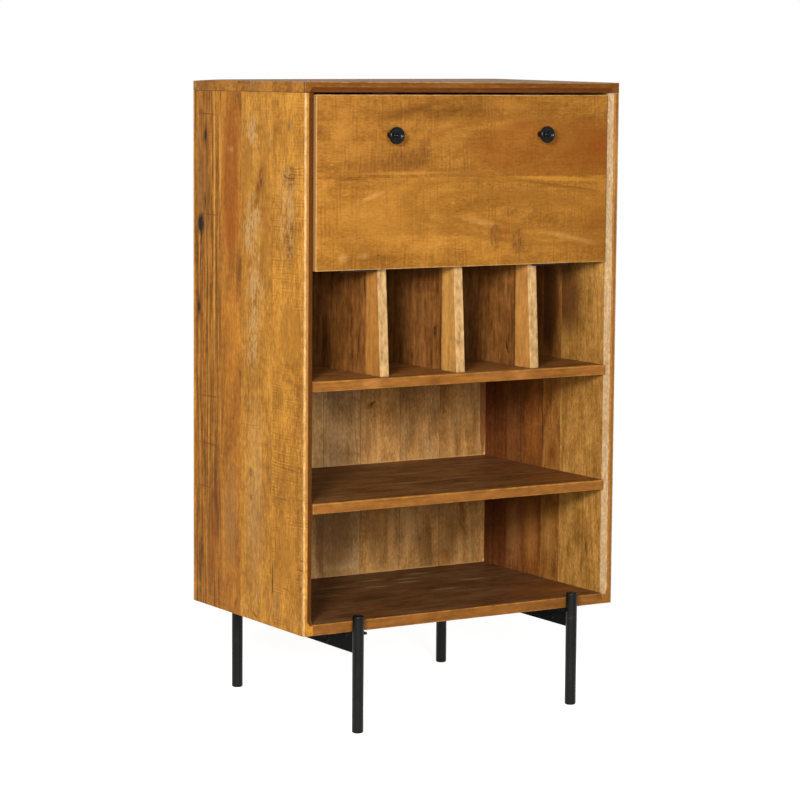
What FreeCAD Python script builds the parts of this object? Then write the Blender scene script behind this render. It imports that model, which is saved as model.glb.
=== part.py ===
import FreeCAD, Part
import math
import os

# Wine cabinet in solid boards on black steel legs, with a fall-front bar compartment.
# Millimetres, +Z up, the front faces -Y. The origin is on the floor under the middle.

# Carcass
width = 650.0
depth = 400.0
leg_clearance = 175.0
side_thick = 20.0
top_thick = 19.0
bottom_thick = 19.0
shelf_thick = 18.0
back_thick = 10.0
lower_bay_height = 191.0
middle_bay_height = 192.0
cubby_height = 187.0
bar_height = 283.0
shelf_setback = 2.0
back_rebate = 8.0
back_clearance = 0.5

# Widths of the glued boards, as shares of the panel, from the front or from the left
left_seam_shares = (0.274, 0.552, 0.736)
right_seam_shares = (0.352, 0.498, 0.646, 0.789)
back_seam_shares = (0.109, 0.252, 0.409, 0.538, 0.678, 0.821)

# Routed chamfer round the front opening
chamfer_width = 12.5
chamfer_depth = 8.0
chamfer_stop_rise = 9.0
top_chamfer_drop = 2.5

# Bottle dividers with a raked front edge
divider_thick = 18.0
divider_foot_setback = 11.0
divider_head_setback = 4.0
divider_count = 3

# Fall flap
flap_thick = 18.0
flap_setback = 3.0
flap_side_gap = 3.5
flap_top_gap = 3.0
flap_seam_share = 0.5235
flap_floor_gap = 0.4
flap_open_angle = 90.0

# Knobs, each bead as start, end and radius in shares of the knob's length and radius
knob_inset = 145.5
knob_height_above_floor = 211.0
knob_stem_radius = 5.0
knob_radius = 15.0
knob_length = 27.0
knob_bore_depth = 9.0
knob_bore_slack = 1.5
knob_bead_shares = ((0.27, 0.43, 0.62), (0.43, 0.60, 0.82), (0.60, 0.97, 1.0))
knob_bead_round_share = 0.42
knob_foot_height_share = 0.08
knob_foot_radius_share = 0.55
knob_dish_depth_share = 0.12
knob_dish_floor_share = 0.5
knob_dish_mouth_share = 0.68
knob_button_radius_share = 0.22

# Butt hinges under the flap
left_hinge_inset = 94.5
right_hinge_inset = 108.5
hinge_length = 76.0
leaf_thick = 1.5
knuckle_radius = 3.0
knuckle_gap = 0.4
hinge_pin_radius = 1.5
hinge_pin_clearance = 0.08
fixed_leaf_reach = 24.0
flap_leaf_reach = 16.0
knuckle_share = 0.36
leaf_screw_share = 0.3
hinge_relief = 0.5

# Slotted stays
stay_radius = 145.0
stay_chord_angle = 30.0
stay_pivot_height = 12.0
stay_bar_width = 14.0
stay_bar_thick = 2.0
stay_side_clearance = 9.0
stay_tip = 10.0
stay_gap = 0.3
slot_clearance = 0.2
slot_end_slack = 0.5
rivet_radius = 2.5
rivet_clearance = 0.08
rivet_head_radius = 5.0
rivet_head_thick = 1.5
bracket_thick = 2.0
bracket_height = 30.0
bracket_base_width = 24.0
stud_plate_width = 22.0
stud_plate_height = 38.0
stud_plate_thick = 2.0
stud_neck_radius = 3.0
stud_shoulder_radius = 6.0
stud_head_thick = 1.6

# Magnetic catches
catch_inset = 145.5
catch_width = 44.0
catch_magnet_width = 24.0
catch_depth = 14.0
catch_height = 12.0
catch_flange_thick = 2.0
catch_gap = 0.4
strike_thick = 1.2
strike_width = 40.0
strike_height = 11.0
strike_inset = 1.0

# Screws and dowels
screw_head_radius = 3.0
screw_radius = 1.5
screw_length = 12.0
screw_clearance = 0.1
plate_screw_share = 0.33
bracket_screw_share = 0.67
back_screw_length = 28.0
leg_screw_radius = 2.0
leg_screw_head_radius = 4.0
leg_screw_head_height = 2.4
leg_screw_length = 16.0
knob_screw_radius = 2.0
knob_screw_head_radius = 4.0
knob_screw_head_height = 2.4
recess_half_length_share = 0.6
recess_width_share = 0.22
recess_depth_share = 0.5
dowel_radius = 4.0
dowel_face_depth = 12.0
dowel_edge_depth = 18.0
dowel_clearance = 0.1
dowel_end_gap = 1.0
dowel_chamfer = 1.0
dowel_depth_shares = (0.1375, 0.425, 0.6875, 0.875)
divider_dowel_shares = (0.2, 0.8)
flap_dowel_shares = (0.1, 0.35, 0.65, 0.9)

# Legs
rod_radius = 10.0
rod_inset = 100.0
rod_gap = 6.0
rod_rise = 31.0
rod_end_round = 3.0
angle_height = 35.0
angle_width = 25.0
angle_thick = 4.0
angle_outset = 7.0
weld_gap = 0.05
leg_screw_shares = (0.14, 0.38, 0.62, 0.86)

# One overrun for every cut
overrun = 2.0

# Levels and faces that follow from these sizes
underside = leg_clearance
floor_top = underside + bottom_thick
middle_shelf_base = floor_top + lower_bay_height
middle_shelf_top = middle_shelf_base + shelf_thick
cubby_shelf_base = middle_shelf_top + middle_bay_height
cubby_shelf_top = cubby_shelf_base + shelf_thick
bar_floor_base = cubby_shelf_top + cubby_height
bar_floor_top = bar_floor_base + shelf_thick
ceiling = bar_floor_top + bar_height
top_surface = ceiling + top_thick
front = -depth / 2
rear = depth / 2
inner_half = width / 2 - side_thick
back_face = rear - back_thick
flap_face = front + flap_setback
flap_inner_face = flap_face + flap_thick
flap_half = inner_half - flap_side_gap
flap_head = ceiling - flap_top_gap
flap_seam = bar_floor_base + (flap_head - bar_floor_base) * flap_seam_share
bar_floor_front = flap_inner_face + flap_floor_gap
hinge_axis_z = bar_floor_base + leaf_thick - knuckle_radius
rod_y = depth / 2 + rod_gap + rod_radius
rod_x = width / 2 - rod_inset

X = FreeCAD.Vector(1, 0, 0)
Y = FreeCAD.Vector(0, 1, 0)
Z = FreeCAD.Vector(0, 0, 1)


def point(x, y, z):
    return FreeCAD.Vector(x, y, z)


def block(x0, x1, y0, y1, z0, z1):
    """Box between two corners."""
    return Part.makeBox(x1 - x0, y1 - y0, z1 - z0, point(x0, y0, z0))


def mirrored(shape):
    """The same piece on the other side of the cabinet."""
    return shape.mirror(point(0, 0, 0), X)


def placed(shape, origin, direction):
    """Turn a shape made along +Z so that it points along a direction from an origin."""
    shape.Placement = FreeCAD.Placement(origin, FreeCAD.Rotation(Z, direction))
    return shape


def turned(outline):
    """Solid of revolution about +Z from points of radius and distance."""
    points = [point(radius, 0, distance) for radius, distance in outline]
    wire = Part.makePolygon(points + [points[0]])
    return Part.Face(wire).revolve(point(0, 0, 0), Z, 360)


def plate(points, thickness_direction):
    """Flat piece from a closed outline, swept along a direction."""
    return Part.Face(Part.makePolygon(points + [points[0]])).extrude(thickness_direction)


def cross_recess(head_radius, head_top, head_depth):
    """Cross-shaped driver recess in a screw head that starts at head_top."""
    half_length = head_radius * recess_half_length_share
    half_width = head_radius * recess_width_share / 2
    bottom = head_top + head_depth * recess_depth_share
    arm = block(-half_length, half_length, -half_width, half_width, head_top - overrun, bottom)
    return arm.fuse(block(-half_width, half_width, -half_length, half_length, head_top - overrun, bottom))


def countersunk_outline(length, grow, lead):
    """Outline of the countersunk screw, or of its hole when grown and led out of the surface."""
    head_depth = screw_head_radius - screw_radius
    return [
        (0, -lead),
        (screw_head_radius + grow, -lead),
        (screw_head_radius + grow, 0),
        (screw_radius + grow, head_depth),
        (screw_radius + grow, length - screw_radius),
        (0, length + grow),
    ]


def countersunk_screw(length, origin, direction):
    screw = turned(countersunk_outline(length, 0, 0))
    head_depth = screw_head_radius - screw_radius
    return placed(screw.cut(cross_recess(screw_head_radius, 0, head_depth)), origin, direction)


def countersunk_hole(length, origin, direction):
    return placed(turned(countersunk_outline(length, screw_clearance, overrun)), origin, direction)


def pan_screw(radius, head_radius, head_height, length, origin, direction):
    """Screw with a rounded head that stands in front of its seat."""
    rim = head_height * recess_depth_share
    screw = turned([
        (0, -head_height),
        (head_radius - rim, -head_height),
        (head_radius, -rim),
        (head_radius, 0),
        (radius, 0),
        (radius, length - radius),
        (0, length),
    ])
    return placed(screw.cut(cross_recess(head_radius, -head_height, head_height)), origin, direction)


def drilled_hole(radius, length, origin, direction):
    """Round hole for a screw, entering overrun before the origin."""
    start = origin - direction * overrun
    return Part.makeCylinder(radius + screw_clearance, length + overrun + screw_clearance, start, direction)


def dowel(joint, direction):
    """Beech dowel across a joint; the short end goes against the direction."""
    start = joint - direction * dowel_face_depth
    pin = Part.makeCylinder(dowel_radius, dowel_face_depth + dowel_edge_depth, start, direction)
    ends = [edge for edge in pin.Edges if edge.Curve.TypeId == "Part::GeomCircle"]
    return pin.makeChamfer(dowel_chamfer, ends)


def dowel_hole(joint, direction):
    start = joint - direction * (dowel_face_depth + dowel_end_gap)
    length = dowel_face_depth + dowel_edge_depth + 2 * dowel_end_gap
    return Part.makeCylinder(dowel_radius + dowel_clearance, length, start, direction)


def cut_all(shape, cutters):
    """Cut every hole that a piece has."""
    return shape.cut(Part.makeCompound(cutters)) if cutters else shape


def split_boards(panel, seams, start, end, along_x):
    """Saw a glued panel into its boards at the seams."""
    edges = [start] + [start + (end - start) * share for share in seams] + [end]
    boards = []
    for low, high in zip(edges, edges[1:]):
        if along_x:
            slab = block(low, high, front, rear, underside, top_surface)
        else:
            slab = block(-width / 2, width / 2, low, high, underside, top_surface)
        boards.append(panel.common(slab))
    return boards


def depth_place(share):
    """Place along the depth, from the front edge."""
    return front + depth * share


# The chamfer cutter is a cone that runs up one side, across the top and down the other.
def chamfer_cutter():
    reach = (chamfer_depth + overrun) / chamfer_depth * chamfer_width
    tip_y = front + chamfer_depth
    stop = floor_top + chamfer_stop_rise
    head = ceiling - top_chamfer_drop
    path = [(-inner_half, stop), (-inner_half, head), (inner_half, head), (inner_half, stop)]
    cutter = None
    for x, z in path:
        cone = Part.makeCone(0, reach, chamfer_depth + overrun, point(x, tip_y, z), -Y)
        cutter = cone if cutter is None else cutter.fuse(cone)
    for (x0, z0), (x1, z1) in zip(path, path[1:]):
        along = point(x1 - x0, 0, z1 - z0)
        across = along.cross(Y).normalize() * reach
        tip = point(x0, tip_y, z0)
        base = point(x0, front - overrun, z0)
        cutter = cutter.fuse(plate([tip, base + across, base - across], along))
    return cutter


# Places of the dowels: at every level in both sides, on top of the sides, and in the dividers
shelf_middles = [
    underside + bottom_thick / 2,
    middle_shelf_base + shelf_thick / 2,
    cubby_shelf_base + shelf_thick / 2,
    bar_floor_base + shelf_thick / 2,
]
divider_pitch = (2 * inner_half - divider_count * divider_thick) / (divider_count + 1) + divider_thick
divider_centres = [
    -inner_half - divider_thick / 2 + divider_pitch * (index + 1) for index in range(divider_count)
]


def side_dowel_places():
    places = []
    for side in (-1, 1):
        for level in shelf_middles:
            for share in dowel_depth_shares:
                places.append((point(side * inner_half, depth_place(share), level), -X * side))
    return places


def top_dowel_places():
    middle = width / 2 - side_thick / 2
    return [
        (point(side * middle, depth_place(share), ceiling), -Z)
        for side in (-1, 1)
        for share in dowel_depth_shares
    ]


def divider_dowel_places():
    places = []
    for centre in divider_centres:
        for share in divider_dowel_shares:
            places.append((point(centre, depth_place(share), cubby_shelf_top), Z))
            places.append((point(centre, depth_place(share), bar_floor_base), -Z))
    return places


carcass_dowel_places = side_dowel_places() + top_dowel_places() + divider_dowel_places()
carcass_dowel_holes = [dowel_hole(joint, direction) for joint, direction in carcass_dowel_places]


# Places of the screws: each back board is held at the top, the bottom and every shelf
back_half = inner_half + back_rebate - back_clearance
back_base = floor_top - back_rebate + back_clearance
back_head = ceiling + back_rebate - back_clearance
back_edges = [-back_half] + [back_half * (2 * share - 1) for share in back_seam_shares] + [back_half]
back_screw_levels = shelf_middles[1:] + [floor_top - back_rebate / 2, ceiling + back_rebate / 2]
back_screw_places = [
    (point((low + high) / 2, rear, level), -Y)
    for low, high in zip(back_edges, back_edges[1:])
    for level in back_screw_levels
]
back_screw_holes = [
    countersunk_hole(back_screw_length, origin, direction) for origin, direction in back_screw_places
]


# Hinge screws, three in each leaf
hinge_centres = (left_hinge_inset - flap_half, flap_half - right_hinge_inset)


def hinge_screw_places(y):
    offsets = (-hinge_length * leaf_screw_share, 0, hinge_length * leaf_screw_share)
    return [
        (point(centre + offset, y, bar_floor_base), Z)
        for centre in hinge_centres
        for offset in offsets
    ]


fixed_leaf_screw_y = flap_inner_face + (knuckle_radius + fixed_leaf_reach) / 2
flap_leaf_screw_y = flap_inner_face - flap_thick / 2

# Stay linkage: the pivot on the flap and the stud on the side are equally far from the hinge axis
hinge_axis_y = flap_inner_face
pivot_angle = math.degrees(math.acos(stay_pivot_height / stay_radius))
stud_angle = pivot_angle - stay_chord_angle
pivot_y = hinge_axis_y + stay_pivot_height
pivot_z = hinge_axis_z + stay_radius * math.sin(math.radians(pivot_angle))
stud_y = hinge_axis_y + stay_radius * math.cos(math.radians(stud_angle))
stud_z = hinge_axis_z + stay_radius * math.sin(math.radians(stud_angle))
chord_closed = 2 * stay_radius * math.sin(math.radians(stay_chord_angle / 2))
chord_open = 2 * stay_radius * math.sin(math.radians((stay_chord_angle + flap_open_angle) / 2))
bar_outer_x = inner_half - stay_side_clearance
bar_inner_x = bar_outer_x - stay_bar_thick
ear_outer_x = bar_inner_x - stay_gap
ear_inner_x = ear_outer_x - bracket_thick
bracket_screw_x = ear_outer_x - bracket_base_width * bracket_screw_share
bracket_face = flap_inner_face + bracket_thick
stud_face_x = inner_half - stud_plate_thick

bracket_screw_places = [
    (point(side * bracket_screw_x, bracket_face, pivot_z + step * bracket_height * plate_screw_share), -Y)
    for side in (-1, 1)
    for step in (-1, 1)
]
stud_screw_places = [
    (point(side * stud_face_x, stud_y, stud_z + step * stud_plate_height * plate_screw_share), X * side)
    for side in (-1, 1)
    for step in (-1, 1)
]

# Catches under the top, and their strikes on the flap
catch_x = flap_half - catch_inset
catch_front = flap_inner_face + strike_thick + catch_gap
catch_flange_face = ceiling - catch_flange_thick
catch_screw_offset = (catch_width + catch_magnet_width) / 4
strike_face = flap_inner_face + strike_thick
strike_middle = flap_head - strike_inset - strike_height / 2
strike_screw_offset = strike_width * plate_screw_share
catch_screw_places = [
    (point(side * catch_x + step * catch_screw_offset, catch_front + catch_depth / 2,
           catch_flange_face), Z)
    for side in (-1, 1)
    for step in (-1, 1)
]
strike_screw_places = [
    (point(side * catch_x + step * strike_screw_offset, strike_face, strike_middle), -Y)
    for side in (-1, 1)
    for step in (-1, 1)
]

cabinet_screw_places = hinge_screw_places(fixed_leaf_screw_y) + stud_screw_places + catch_screw_places
flap_screw_places = hinge_screw_places(flap_leaf_screw_y) + bracket_screw_places + strike_screw_places
cabinet_screw_holes = [
    countersunk_hole(screw_length, origin, direction) for origin, direction in cabinet_screw_places
]
flap_screw_holes = [
    countersunk_hole(screw_length, origin, direction) for origin, direction in flap_screw_places
]

# Leg screws go up through the flat of each angle bar
angle_outer_x = rod_x + angle_outset
angle_inner_x = angle_outer_x - angle_width
leg_screw_x = (angle_outer_x - angle_thick + angle_inner_x) / 2
leg_screw_places = [
    (point(side * leg_screw_x, rod_y * (2 * share - 1), underside - angle_thick), Z)
    for side in (-1, 1)
    for share in leg_screw_shares
]
leg_screw_holes = [
    drilled_hole(leg_screw_radius, leg_screw_length, origin, direction)
    for origin, direction in leg_screw_places
]

# Knobs and the screws that hold them from inside the flap
knob_x = flap_half - knob_inset
knob_z = bar_floor_top + knob_height_above_floor
knob_screw_length = flap_thick + knob_bore_depth - knob_bore_slack
knob_screw_places = [
    (point(side * knob_x, flap_inner_face, knob_z), -Y) for side in (-1, 1)
]


def along_hinge(radius, start_x, length):
    """Round bar on the hinge axis."""
    return Part.makeCylinder(radius, length, point(start_x, hinge_axis_y, hinge_axis_z), X)


def hinge_relief_cutter(centre):
    """Room round one hinge barrel, in both the flap and the bar floor."""
    start_x = centre - hinge_length / 2 - hinge_relief
    return along_hinge(knuckle_radius + hinge_relief, start_x, hinge_length + 2 * hinge_relief)


def leaf_pocket(centre, y0, y1):
    """Shallow recess that lets a hinge leaf in flush."""
    half = hinge_length / 2 + hinge_relief
    return block(centre - half, centre + half, y0, y1,
                 bar_floor_base - overrun, bar_floor_base + leaf_thick)


def side_panel(side):
    """One side as a glued panel, rebated for the back and routed at the front."""
    outer = side * width / 2
    inner = side * inner_half
    low = min(outer, inner)
    high = max(outer, inner)
    panel = block(low, high, front, rear, underside, ceiling)
    rebate = block(inner - back_rebate, inner + back_rebate, back_face, rear + overrun,
                   floor_top - back_rebate, ceiling + overrun)
    return cut_all(panel.cut(rebate).cut(front_chamfer),
                   carcass_dowel_holes + cabinet_screw_holes + back_screw_holes)


def top_board():
    """Top panel, laid over both sides."""
    panel = block(-width / 2, width / 2, front, rear, ceiling, top_surface)
    rebate_half = inner_half + back_rebate
    rebate = block(-rebate_half, rebate_half, back_face, rear + overrun,
                   ceiling - overrun, ceiling + back_rebate)
    return cut_all(panel.cut(rebate).cut(front_chamfer),
                   carcass_dowel_holes + cabinet_screw_holes + back_screw_holes)


def bottom_board():
    """Bottom panel, held between the sides."""
    panel = block(-inner_half, inner_half, front, rear, underside, floor_top)
    rebate = block(-inner_half - overrun, inner_half + overrun, back_face, rear + overrun,
                   floor_top - back_rebate, floor_top + overrun)
    return cut_all(panel.cut(rebate).cut(front_chamfer),
                   carcass_dowel_holes + back_screw_holes + leg_screw_holes)


def shelf(front_edge, base):
    """Fixed shelf between the sides, up to the back boards."""
    board = block(-inner_half, inner_half, front_edge, back_face - back_clearance, base, base + shelf_thick)
    return cut_all(board, carcass_dowel_holes + back_screw_holes)


def bar_floor_board():
    """Floor of the bar compartment, with the hinge leaves let into its underside."""
    board = shelf(bar_floor_front, bar_floor_base)
    pocket_end = hinge_axis_y + fixed_leaf_reach + hinge_relief
    cutters = list(cabinet_screw_holes)
    for centre in hinge_centres:
        cutters.append(hinge_relief_cutter(centre))
        cutters.append(leaf_pocket(centre, bar_floor_front - overrun, pocket_end))
    return cut_all(board, cutters)


def divider(centre):
    """Bottle divider, raked back at the top so that the open flap clears it."""
    foot = front + shelf_setback + divider_foot_setback
    head = flap_inner_face + divider_head_setback
    back_edge = back_face - back_clearance
    x0 = centre - divider_thick / 2
    outline = [
        point(x0, foot, cubby_shelf_top),
        point(x0, back_edge, cubby_shelf_top),
        point(x0, back_edge, bar_floor_base),
        point(x0, head, bar_floor_base),
    ]
    return cut_all(plate(outline, X * divider_thick), carcass_dowel_holes)


def back_panel():
    """Back boards as one panel in the rebates."""
    panel = block(-back_half, back_half, back_face, rear, back_base, back_head)
    return cut_all(panel, back_screw_holes)


def flap_dowel_places():
    return [(point(flap_half * (2 * share - 1), flap_face + flap_thick / 2, flap_seam), Z)
            for share in flap_dowel_shares]


def flap_boards():
    """The two flap boards, lower then upper, glued and dowelled along one seam."""
    cutters = [dowel_hole(joint, direction) for joint, direction in flap_dowel_places()]
    for origin, direction in knob_screw_places:
        cutters.append(drilled_hole(knob_screw_radius, knob_screw_length, origin, direction))
    for centre in hinge_centres:
        cutters.append(hinge_relief_cutter(centre))
        cutters.append(leaf_pocket(centre, hinge_axis_y - flap_leaf_reach - hinge_relief,
                                   hinge_axis_y + overrun))
    cutters = cutters + flap_screw_holes
    lower = block(-flap_half, flap_half, flap_face, flap_inner_face, bar_floor_base, flap_seam)
    upper = block(-flap_half, flap_half, flap_face, flap_inner_face, flap_seam, flap_head)
    return cut_all(lower, cutters), cut_all(upper, cutters)


def rounded_disc(radius, start, end, rounding):
    """Disc or rod along +Z with both rims rounded."""
    disc = Part.makeCylinder(radius, end - start, point(0, 0, start))
    rims = [edge for edge in disc.Edges if edge.Curve.TypeId == "Part::GeomCircle"]
    return disc.makeFillet(rounding, rims)


def knob(origin):
    """Turned knob: flared foot, stem, two beads, rim, dished front and a centre button."""
    dish_floor = knob_length * (knob_bead_shares[-1][1] - knob_dish_depth_share)
    button_radius = knob_radius * knob_button_radius_share
    body = Part.makeCone(knob_radius * knob_foot_radius_share, knob_stem_radius,
                         knob_length * knob_foot_height_share)
    body = body.fuse(Part.makeCylinder(knob_stem_radius, dish_floor))
    for start_share, end_share, radius_share in knob_bead_shares:
        start = knob_length * start_share
        end = knob_length * end_share
        body = body.fuse(rounded_disc(
            knob_radius * radius_share, start, end, (end - start) * knob_bead_round_share))
    body = body.cut(Part.makeCone(knob_radius * knob_dish_floor_share, knob_radius * knob_dish_mouth_share,
                                  knob_length * knob_dish_depth_share, point(0, 0, dish_floor)))
    body = body.fuse(rounded_disc(button_radius, dish_floor - button_radius, knob_length, button_radius / 2))
    bore = Part.makeCylinder(knob_screw_radius + screw_clearance, knob_bore_depth)
    return placed(body.cut(bore).removeSplitter(), origin, -Y)


def hinge_leaf(centre, spans, reach, screw_y, holes):
    """Leaf with its knuckles; reach is negative towards the front."""
    half = hinge_length / 2
    y0 = min(hinge_axis_y, hinge_axis_y + reach)
    y1 = max(hinge_axis_y, hinge_axis_y + reach)
    leaf = block(centre - half, centre + half, y0, y1, bar_floor_base, bar_floor_base + leaf_thick)
    free = knuckle_radius + hinge_relief
    edges = [-half - overrun] + [edge for span in spans for edge in span] + [half + overrun]
    for low, high in zip(edges[::2], edges[1::2]):
        leaf = leaf.cut(block(centre + low, centre + high, hinge_axis_y - free, hinge_axis_y + free,
                              bar_floor_base - overrun, bar_floor_base + leaf_thick + overrun))
    for low, high in spans:
        leaf = leaf.fuse(along_hinge(knuckle_radius, centre + low, high - low))
    bore = along_hinge(hinge_pin_radius + hinge_pin_clearance, centre - half, hinge_length)
    return cut_all(leaf.cut(bore), holes)


def hinge(centre):
    """Fixed leaf, flap leaf and pin of one butt hinge."""
    half = hinge_length / 2
    middle = half * knuckle_share
    fixed_spans = [(-half, -middle - knuckle_gap / 2), (middle + knuckle_gap / 2, half)]
    flap_spans = [(-middle + knuckle_gap / 2, middle - knuckle_gap / 2)]
    fixed = hinge_leaf(centre, fixed_spans, fixed_leaf_reach, fixed_leaf_screw_y, cabinet_screw_holes)
    moving = hinge_leaf(centre, flap_spans, -flap_leaf_reach, flap_leaf_screw_y, flap_screw_holes)
    pin = along_hinge(hinge_pin_radius, centre - half, hinge_length)
    return fixed, moving, pin


def round_bar(radius, x0, x1, y, z):
    """Round bar along X between two faces."""
    return Part.makeCylinder(radius, x1 - x0, point(x0, y, z), X)


def slot(start, end, radius, x0, x1):
    """Round-ended slab between two points of a plane across X."""
    along = end - start
    across = along.cross(X).normalize() * radius
    body = plate([start + across, end + across, end - across, start - across], X * (x1 - x0))
    for centre in (start, end):
        body = body.fuse(round_bar(radius, x0, x1, centre.y, centre.z))
    return body


def right_stay():
    """Bar, flap bracket, rivet and side stud of the right stay, with the flap shut."""
    pivot = point(bar_inner_x, pivot_y, pivot_z)
    stud = point(bar_inner_x, stud_y, stud_z)
    along = (stud - pivot).normalize()
    half_width = stay_bar_width / 2

    bar = slot(pivot, pivot + along * (chord_open + stay_tip), half_width, bar_inner_x, bar_outer_x)
    track_start = pivot + along * (chord_closed - slot_end_slack)
    track_end = pivot + along * (chord_open + slot_end_slack)
    bar = bar.cut(slot(track_start, track_end, stud_neck_radius + slot_clearance, bar_inner_x, bar_outer_x))
    bar = bar.cut(round_bar(rivet_radius + rivet_clearance, bar_inner_x, bar_outer_x, pivot_y, pivot_z))

    ear = block(ear_inner_x, ear_outer_x, flap_inner_face, pivot_y,
                pivot_z - half_width, pivot_z + half_width)
    ear = ear.fuse(round_bar(half_width, ear_inner_x, ear_outer_x, pivot_y, pivot_z))
    base = block(ear_outer_x - bracket_base_width, ear_outer_x, flap_inner_face, bracket_face,
                 pivot_z - bracket_height / 2, pivot_z + bracket_height / 2)
    rivet_hole = round_bar(rivet_radius + rivet_clearance, ear_inner_x, ear_outer_x, pivot_y, pivot_z)
    bracket = cut_all(base.fuse(ear).cut(rivet_hole), flap_screw_holes)

    shank_end = bar_outer_x + stay_gap
    head_x = ear_inner_x - rivet_head_thick
    rivet = round_bar(rivet_radius, head_x, shank_end, pivot_y, pivot_z)
    for x in (head_x, shank_end):
        rivet = rivet.fuse(round_bar(rivet_head_radius, x, x + rivet_head_thick, pivot_y, pivot_z))

    neck_end = bar_inner_x - stay_gap
    foot = block(stud_face_x, inner_half, stud_y - stud_plate_width / 2, stud_y + stud_plate_width / 2,
                 stud_z - stud_plate_height / 2, stud_z + stud_plate_height / 2)
    foot = foot.fuse(round_bar(stud_neck_radius, neck_end, stud_face_x, stud_y, stud_z))
    foot = foot.fuse(round_bar(stud_shoulder_radius, bar_outer_x + stay_gap, stud_face_x, stud_y, stud_z))
    foot = foot.fuse(round_bar(stud_shoulder_radius, neck_end - stud_head_thick, neck_end, stud_y, stud_z))
    foot = cut_all(foot, cabinet_screw_holes)
    return {"bar": bar, "bracket": bracket, "rivet": rivet, "stud": foot}


def catch(side):
    """Magnetic catch: a magnet block on a flange that is screwed under the top."""
    centre = side * catch_x
    magnet = block(centre - catch_magnet_width / 2, centre + catch_magnet_width / 2,
                   catch_front, catch_front + catch_depth, ceiling - catch_height, ceiling)
    flange = block(centre - catch_width / 2, centre + catch_width / 2,
                   catch_front, catch_front + catch_depth, catch_flange_face, ceiling)
    return cut_all(magnet.fuse(flange), cabinet_screw_holes)


def strike(side):
    """Steel plate on the flap that the magnet holds."""
    centre = side * catch_x
    steel = block(centre - strike_width / 2, centre + strike_width / 2, flap_inner_face, strike_face,
                  strike_middle - strike_height / 2, strike_middle + strike_height / 2)
    return cut_all(steel, flap_screw_holes)


def leg_rod(side, end):
    """Round steel leg, rounded at both ends, standing clear of the carcass."""
    leg = rounded_disc(rod_radius, 0, underside + rod_rise, rod_end_round)
    leg.translate(point(side * rod_x, end * rod_y, 0))
    return leg


def leg_bar():
    """Right angle bar under the carcass, welded between a front and a rear rod."""
    upright = block(angle_outer_x - angle_thick, angle_outer_x, -rod_y, rod_y,
                    underside - angle_height, underside)
    flat = block(angle_inner_x, angle_outer_x, -rod_y, rod_y, underside - angle_thick, underside)
    bar = upright.fuse(flat)
    for end in (-1, 1):
        bar = bar.cut(Part.makeCylinder(rod_radius + weld_gap, top_surface, point(rod_x, end * rod_y, 0)))
    return cut_all(bar, leg_screw_holes)


front_chamfer = chamfer_cutter()
parts = {}

# Sides, top, bottom and back
left_boards = split_boards(side_panel(-1), left_seam_shares, front, rear, False)
right_boards = split_boards(side_panel(1), right_seam_shares, front, rear, False)
back_boards = split_boards(back_panel(), back_seam_shares, -back_half, back_half, True)
for name, boards in (("left_side_board", left_boards), ("right_side_board", right_boards),
                     ("back_board", back_boards)):
    for index, board in enumerate(boards):
        parts[f"{name}_{index + 1}"] = board
parts["top_panel"] = top_board()
parts["bottom_panel"] = bottom_board()

# Shelves and dividers
parts["middle_shelf"] = shelf(front + shelf_setback, middle_shelf_base)
parts["cubby_shelf"] = shelf(front + shelf_setback, cubby_shelf_base)
parts["bar_floor"] = bar_floor_board()
for index, centre in enumerate(divider_centres):
    parts[f"divider_{index + 1}"] = divider(centre)

# Flap, knobs, hinges, stays and catches
parts["flap_lower_board"], parts["flap_upper_board"] = flap_boards()
stay = right_stay()
for side, name, hinge_x in zip((-1, 1), ("left", "right"), hinge_centres):
    parts[f"knob_{name}"] = knob(point(side * knob_x, flap_face, knob_z))
    fixed_leaf, flap_leaf, hinge_pin = hinge(hinge_x)
    parts[f"hinge_{name}_fixed_leaf"] = fixed_leaf
    parts[f"hinge_{name}_flap_leaf"] = flap_leaf
    parts[f"hinge_{name}_pin"] = hinge_pin
    for piece, shape in stay.items():
        parts[f"stay_{name}_{piece}"] = shape if side == 1 else mirrored(shape)
    parts[f"catch_{name}"] = catch(side)
    parts[f"strike_{name}"] = strike(side)

# Legs
bar = leg_bar()
for side, name in ((-1, "left"), (1, "right")):
    parts[f"leg_bar_{name}"] = bar if side == 1 else mirrored(bar)
    for end, place in ((-1, "front"), (1, "rear")):
        parts[f"leg_rod_{place}_{name}"] = leg_rod(side, end)

# Fasteners, one group for each kind
parts["carcass_dowels"] = Part.makeCompound(
    [dowel(joint, direction) for joint, direction in carcass_dowel_places])
parts["flap_dowels"] = Part.makeCompound(
    [dowel(joint, direction) for joint, direction in flap_dowel_places()])
parts["back_screws"] = Part.makeCompound(
    [countersunk_screw(back_screw_length, origin, direction) for origin, direction in back_screw_places])
parts["cabinet_screws"] = Part.makeCompound(
    [countersunk_screw(screw_length, origin, direction) for origin, direction in cabinet_screw_places])
parts["flap_screws"] = Part.makeCompound(
    [countersunk_screw(screw_length, origin, direction) for origin, direction in flap_screw_places])
parts["knob_screws"] = Part.makeCompound(
    [pan_screw(knob_screw_radius, knob_screw_head_radius, knob_screw_head_height, knob_screw_length,
               origin, direction) for origin, direction in knob_screw_places])
parts["leg_screws"] = Part.makeCompound(
    [pan_screw(leg_screw_radius, leg_screw_head_radius, leg_screw_head_height, leg_screw_length,
               origin, direction) for origin, direction in leg_screw_places])

os.makedirs("parts", exist_ok=True)
for name, shape in parts.items():
    shape.exportStep(f"parts/{name}.step")
print(len(parts), "sub-parts written")
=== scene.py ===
import math
import bmesh
import bpy
from mathutils import Matrix, Vector, noise


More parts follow.
